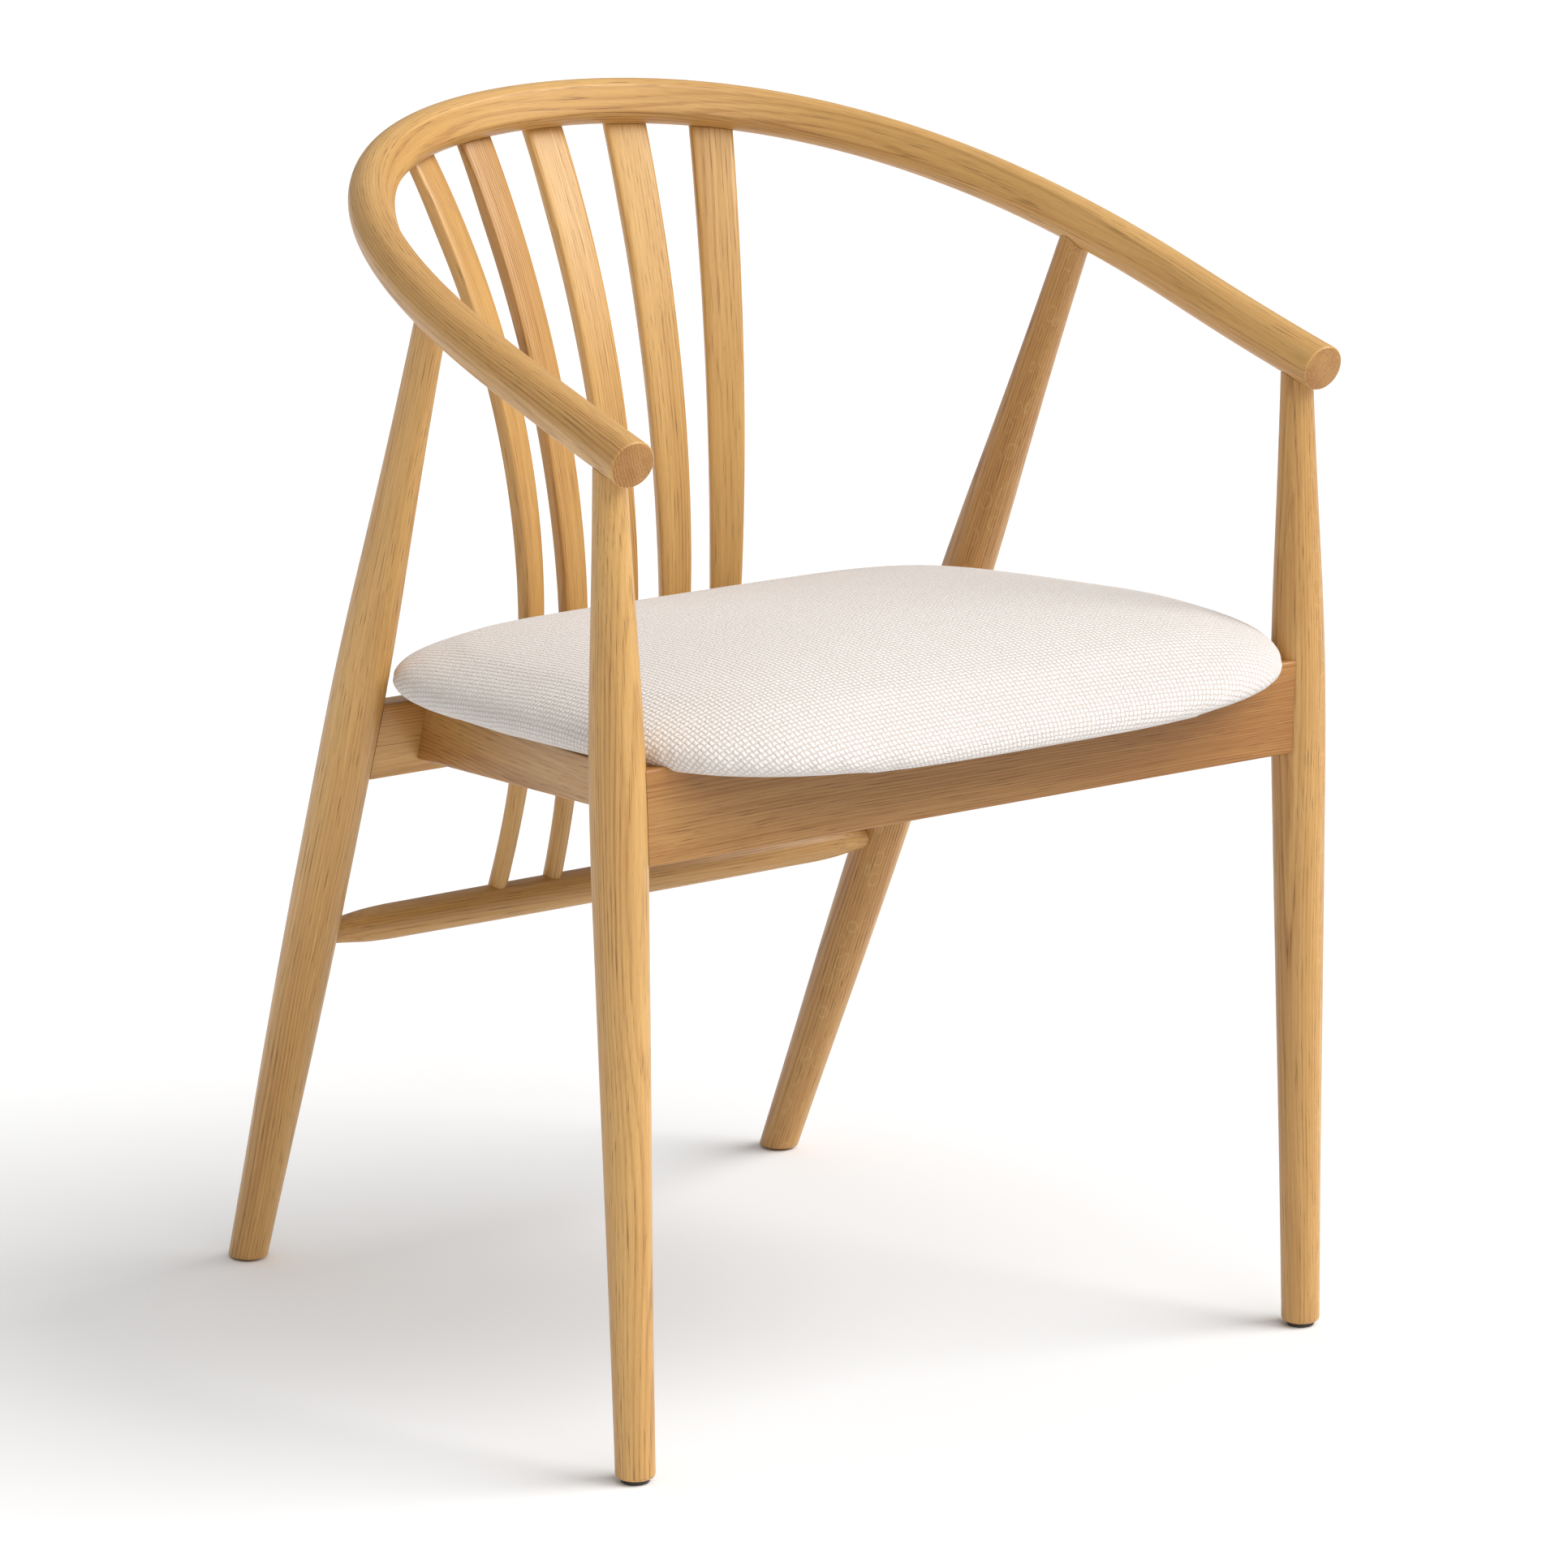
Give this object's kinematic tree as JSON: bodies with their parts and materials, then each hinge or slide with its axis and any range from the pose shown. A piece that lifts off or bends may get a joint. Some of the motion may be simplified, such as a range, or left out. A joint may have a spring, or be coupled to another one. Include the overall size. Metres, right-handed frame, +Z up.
{
  "type": "dining armchair",
  "caption": "Wooden armchair: a bent round bow forms arms and back rail over turned legs, bent slats, a rail frame and an upholstered seat pad.",
  "frame": {"origin": "on the floor under the middle of the chair's bounding box", "axes": "+Z up, the chair faces -Y, +X to the sitter's left; X = 0 is the plane of symmetry"},
  "size_m": [0.5606, 0.6016, 0.7781],
  "materials": {
    "oak": "solid white oak, matte clear oil-wax finish, open grain",
    "beech": "plain sawn beech, unfinished",
    "plywood": "birch plywood, unfinished",
    "cream_fabric": "cream basket-weave upholstery cloth",
    "foam": "polyurethane foam",
    "black_lining": "black non-woven dust cover",
    "zinc_screw": "zinc-plated wood screw",
    "nylon_glide": "moulded nylon"
  },
  "bodies": {
    "root": {"back_slat_1": "oak", "back_slat_2": "oak", "back_slat_3": "oak", "back_slat_4": "oak", "back_slat_5": "oak", "bow_rail": "oak", "dust_cover": "black_lining", "front_corner_block_left": "beech", "front_corner_block_right": "beech", "front_glide_left": "nylon_glide", "front_glide_right": "nylon_glide", "front_leg_left": "oak", "front_leg_right": "oak", "front_rail": "oak", "front_rail_screw_left": "zinc_screw", "front_rail_screw_right": "zinc_screw", "front_seat_screw_left": "zinc_screw", "front_seat_screw_right": "zinc_screw", "front_side_screw_left": "zinc_screw", "front_side_screw_right": "zinc_screw", "lower_rail_dowel_left": "beech", "lower_rail_dowel_right": "beech", "rear_corner_block_left": "beech", "rear_corner_block_right": "beech", "rear_glide_left": "nylon_glide", "rear_glide_right": "nylon_glide", "rear_leg_left": "oak", "rear_leg_right": "oak", "rear_rail": "oak", "rear_rail_screw_left": "zinc_screw", "rear_rail_screw_right": "zinc_screw", "rear_seat_screw_left": "zinc_screw", "rear_seat_screw_right": "zinc_screw", "rear_side_screw_left": "zinc_screw", "rear_side_screw_right": "zinc_screw", "rear_stretcher": "oak", "seat_board": "plywood", "seat_cover": "cream_fabric", "seat_foam": "foam", "side_rail_left": "oak", "side_rail_right": "oak", "upper_rail_dowel_left": "beech", "upper_rail_dowel_right": "beech"}
  },
  "joints": []
}
